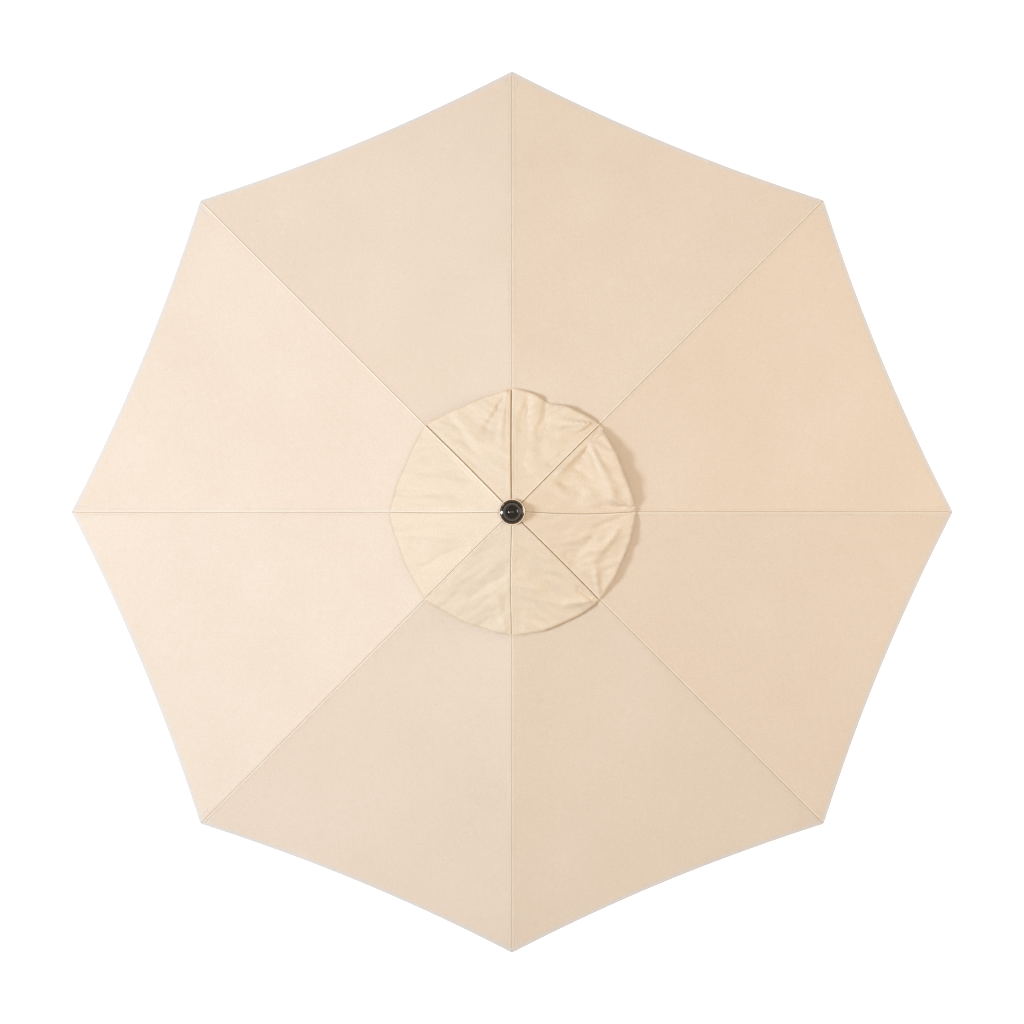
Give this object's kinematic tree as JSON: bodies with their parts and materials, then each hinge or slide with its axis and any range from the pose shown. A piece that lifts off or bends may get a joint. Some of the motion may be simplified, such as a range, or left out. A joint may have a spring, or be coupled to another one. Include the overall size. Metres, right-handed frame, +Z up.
{
  "type": "patio umbrella",
  "caption": "Market umbrella with an octagonal beige canopy, vent cap and finial, on a crank-lift tilting pole in a round plate base",
  "frame": {"origin": "on the ground under the rubber foot ring, on the pole's centre line", "axes": "+Z up along the pole; +X along rib 1; the crank faces -Y; the canopy leans away from the tilt button, which is 22.5 degrees from +X towards +Y"},
  "size_m": [2.7008, 2.7008, 2.4361],
  "materials": {
    "canopy_cloth": "woven polyester, beige, topstitched",
    "vent_cloth": "the same woven polyester, a little yellower",
    "chrome": "polished",
    "black_gloss": "glossy moulded",
    "rubber": "matte",
    "base_paint": "textured powder coat",
    "pole_paint": "satin powder coat",
    "frame_paint": "satin powder coat",
    "black_plastic": "fine-grained moulded",
    "bright_steel": "zinc-plated"
  },
  "bodies": {
    "base": {"base_plate": "base_paint", "base_foot_ring": "rubber", "base_stem": "base_paint", "base_bolt_1": "bright_steel", "base_bolt_2": "bright_steel", "base_bolt_3": "bright_steel", "base_bolt_4": "bright_steel", "base_sleeve": "black_plastic"},
    "lock_knob": {"base_lock_knob": "black_plastic", "base_lock_stud": "bright_steel"},
    "pole": {"lower_pole": "pole_paint", "pole_foot": "black_plastic", "mid_pole": "pole_paint", "pole_joint": "black_plastic", "crank_housing": "black_plastic", "crank_cover": "black_plastic", "housing_screw_1": "bright_steel", "housing_screw_2": "bright_steel", "tilt_knuckle_lower": "pole_paint", "tilt_pin": "bright_steel"},
    "crank": {"crank_spool": "black_plastic", "crank_shaft": "bright_steel", "crank_arm": "frame_paint", "knob_pin": "bright_steel"},
    "knob": {"crank_knob": "black_plastic"},
    "top": {"tilt_knuckle_upper": "pole_paint", "top_pole": "pole_paint", "top_hub": "black_plastic", "hub_ring": "bright_steel", "pulley_pin": "bright_steel", "finial_ring": "chrome", "finial_knob": "black_gloss", "canopy": "canopy_cloth", "vent_cap": "vent_cloth", "tilt_spring": "bright_steel"},
    "pulley_wheel": {"pulley": "black_plastic"},
    "button": {"tilt_button": "bright_steel"},
    "rib_body_1": {"rib_1": "frame_paint"},
    "strut_body_1": {"strut_1": "frame_paint"},
    "rib_body_2": {"rib_2": "frame_paint"},
    "strut_body_2": {"strut_2": "frame_paint"},
    "rib_body_3": {"rib_3": "frame_paint"},
    "strut_body_3": {"strut_3": "frame_paint"},
    "rib_body_4": {"rib_4": "frame_paint"},
    "strut_body_4": {"strut_4": "frame_paint"},
    "rib_body_5": {"rib_5": "frame_paint"},
    "strut_body_5": {"strut_5": "frame_paint"},
    "rib_body_6": {"rib_6": "frame_paint"},
    "strut_body_6": {"strut_6": "frame_paint"},
    "rib_body_7": {"rib_7": "frame_paint"},
    "strut_body_7": {"strut_7": "frame_paint"},
    "rib_body_8": {"rib_8": "frame_paint"},
    "strut_body_8": {"strut_8": "frame_paint"},
    "runner_body": {"runner": "black_plastic", "runner_ring": "bright_steel"}
  },
  "joints": [
    {"name": "pole_turn", "type": "hinge", "parent": "base", "child": "pole", "pos_m": [0, 0, 0.4], "axis": [0, 0, 1], "continuous": true},
    {"name": "lock_turn", "type": "hinge", "parent": "base", "child": "lock_knob", "pos_m": [0, -0.06, 0.345], "axis": [0, 1, 0], "range_deg": [0, 1080]},
    {"name": "tilt", "type": "hinge", "parent": "pole", "child": "top", "pos_m": [0, 0, 1.745], "axis": [-0.3827, 0.9239, 0], "range_deg": [-30, 0]},
    {"name": "tilt_press", "type": "slide", "parent": "top", "child": "button", "axis": [-0.9239, -0.3827, 0], "range_m": [0, 0.005], "stiffness_N_per_m": 600, "springref_m": -0.003, "deforming": ["tilt_spring"]},
    {"name": "canopy_fold", "type": "hinge", "parent": "top", "child": "rib_body_1", "pos_m": [0.04, 0, 2.36], "axis": [0, 1, 0], "range_deg": [0, 66], "deforming": ["canopy", "vent_cap"]},
    {"name": "crank_turn", "type": "hinge", "parent": "pole", "child": "crank", "pos_m": [0, -0.079, 0.8225], "axis": [0, -1, 0], "range_deg": [0, 2880]},
    {"name": "knob_spin", "type": "hinge", "parent": "crank", "child": "knob", "pos_m": [0, -0.116, 0.7225], "axis": [0, -1, 0], "continuous": true},
    {"name": "pulley_turn", "type": "hinge", "parent": "top", "child": "pulley_wheel", "pos_m": [0.00647, 0.00268, 2.29], "axis": [-0.3827, 0.9239, 0], "range_deg": [0, 3960]},
    {"name": "rib_fold_2", "type": "hinge", "parent": "top", "child": "rib_body_2", "pos_m": [0.02828, 0.02828, 2.36], "axis": [-0.7071, 0.7071, 0], "range_deg": [0, 66]},
    {"name": "rib_fold_3", "type": "hinge", "parent": "top", "child": "rib_body_3", "pos_m": [0, 0.04, 2.36], "axis": [-1, 0, 0], "range_deg": [0, 66]},
    {"name": "rib_fold_4", "type": "hinge", "parent": "top", "child": "rib_body_4", "pos_m": [-0.02828, 0.02828, 2.36], "axis": [-0.7071, -0.7071, 0], "range_deg": [0, 66]},
    {"name": "rib_fold_5", "type": "hinge", "parent": "top", "child": "rib_body_5", "pos_m": [-0.04, 0, 2.36], "axis": [0, -1, 0], "range_deg": [0, 66]},
    {"name": "rib_fold_6", "type": "hinge", "parent": "top", "child": "rib_body_6", "pos_m": [-0.02828, -0.02828, 2.36], "axis": [0.7071, -0.7071, 0], "range_deg": [0, 66]},
    {"name": "rib_fold_7", "type": "hinge", "parent": "top", "child": "rib_body_7", "pos_m": [0, -0.04, 2.36], "axis": [1, 0, 0], "range_deg": [0, 66]},
    {"name": "rib_fold_8", "type": "hinge", "parent": "top", "child": "rib_body_8", "pos_m": [0.02828, -0.02828, 2.36], "axis": [0.7071, 0.7071, 0], "range_deg": [0, 66]},
    {"name": "strut_elbow_1", "type": "hinge", "parent": "rib_body_1", "child": "strut_body_1", "pos_m": [0.59851, 0, 2.14022], "axis": [0, 1, 0], "range_deg": [-132, 0]},
    {"name": "strut_elbow_2", "type": "hinge", "parent": "rib_body_2", "child": "strut_body_2", "pos_m": [0.42321, 0.42321, 2.14022], "axis": [-0.7071, 0.7071, 0], "range_deg": [-132, 0]},
    {"name": "strut_elbow_3", "type": "hinge", "parent": "rib_body_3", "child": "strut_body_3", "pos_m": [0, 0.59851, 2.14022], "axis": [-1, 0, 0], "range_deg": [-132, 0]},
    {"name": "strut_elbow_4", "type": "hinge", "parent": "rib_body_4", "child": "strut_body_4", "pos_m": [-0.42321, 0.42321, 2.14022], "axis": [-0.7071, -0.7071, 0], "range_deg": [-132, 0]},
    {"name": "strut_elbow_5", "type": "hinge", "parent": "rib_body_5", "child": "strut_body_5", "pos_m": [-0.59851, 0, 2.14022], "axis": [0, -1, 0], "range_deg": [-132, 0]},
    {"name": "strut_elbow_6", "type": "hinge", "parent": "rib_body_6", "child": "strut_body_6", "pos_m": [-0.42321, -0.42321, 2.14022], "axis": [0.7071, -0.7071, 0], "range_deg": [-132, 0]},
    {"name": "strut_elbow_7", "type": "hinge", "parent": "rib_body_7", "child": "strut_body_7", "pos_m": [0, -0.59851, 2.14022], "axis": [1, 0, 0], "range_deg": [-132, 0]},
    {"name": "strut_elbow_8", "type": "hinge", "parent": "rib_body_8", "child": "strut_body_8", "pos_m": [0.42321, -0.42321, 2.14022], "axis": [0.7071, 0.7071, 0], "range_deg": [-132, 0]},
    {"name": "runner_slide", "type": "hinge", "parent": "strut_body_1", "child": "runner_body", "pos_m": [0.04, 0, 1.92044], "axis": [0, 1, 0], "range_deg": [0, 66]}
  ],
  "couplings": [
    {"joint": "crank_turn", "follows": "canopy_fold", "ratio": 43.636},
    {"joint": "pulley_turn", "follows": "canopy_fold", "ratio": 60},
    {"joint": "rib_fold_2", "follows": "canopy_fold", "ratio": 1},
    {"joint": "rib_fold_3", "follows": "canopy_fold", "ratio": 1},
    {"joint": "rib_fold_4", "follows": "canopy_fold", "ratio": 1},
    {"joint": "rib_fold_5", "follows": "canopy_fold", "ratio": 1},
    {"joint": "rib_fold_6", "follows": "canopy_fold", "ratio": 1},
    {"joint": "rib_fold_7", "follows": "canopy_fold", "ratio": 1},
    {"joint": "rib_fold_8", "follows": "canopy_fold", "ratio": 1},
    {"joint": "strut_elbow_1", "follows": "canopy_fold", "ratio": -2},
    {"joint": "strut_elbow_2", "follows": "canopy_fold", "ratio": -2},
    {"joint": "strut_elbow_3", "follows": "canopy_fold", "ratio": -2},
    {"joint": "strut_elbow_4", "follows": "canopy_fold", "ratio": -2},
    {"joint": "strut_elbow_5", "follows": "canopy_fold", "ratio": -2},
    {"joint": "strut_elbow_6", "follows": "canopy_fold", "ratio": -2},
    {"joint": "strut_elbow_7", "follows": "canopy_fold", "ratio": -2},
    {"joint": "strut_elbow_8", "follows": "canopy_fold", "ratio": -2},
    {"joint": "runner_slide", "follows": "canopy_fold", "ratio": 1}
  ]
}
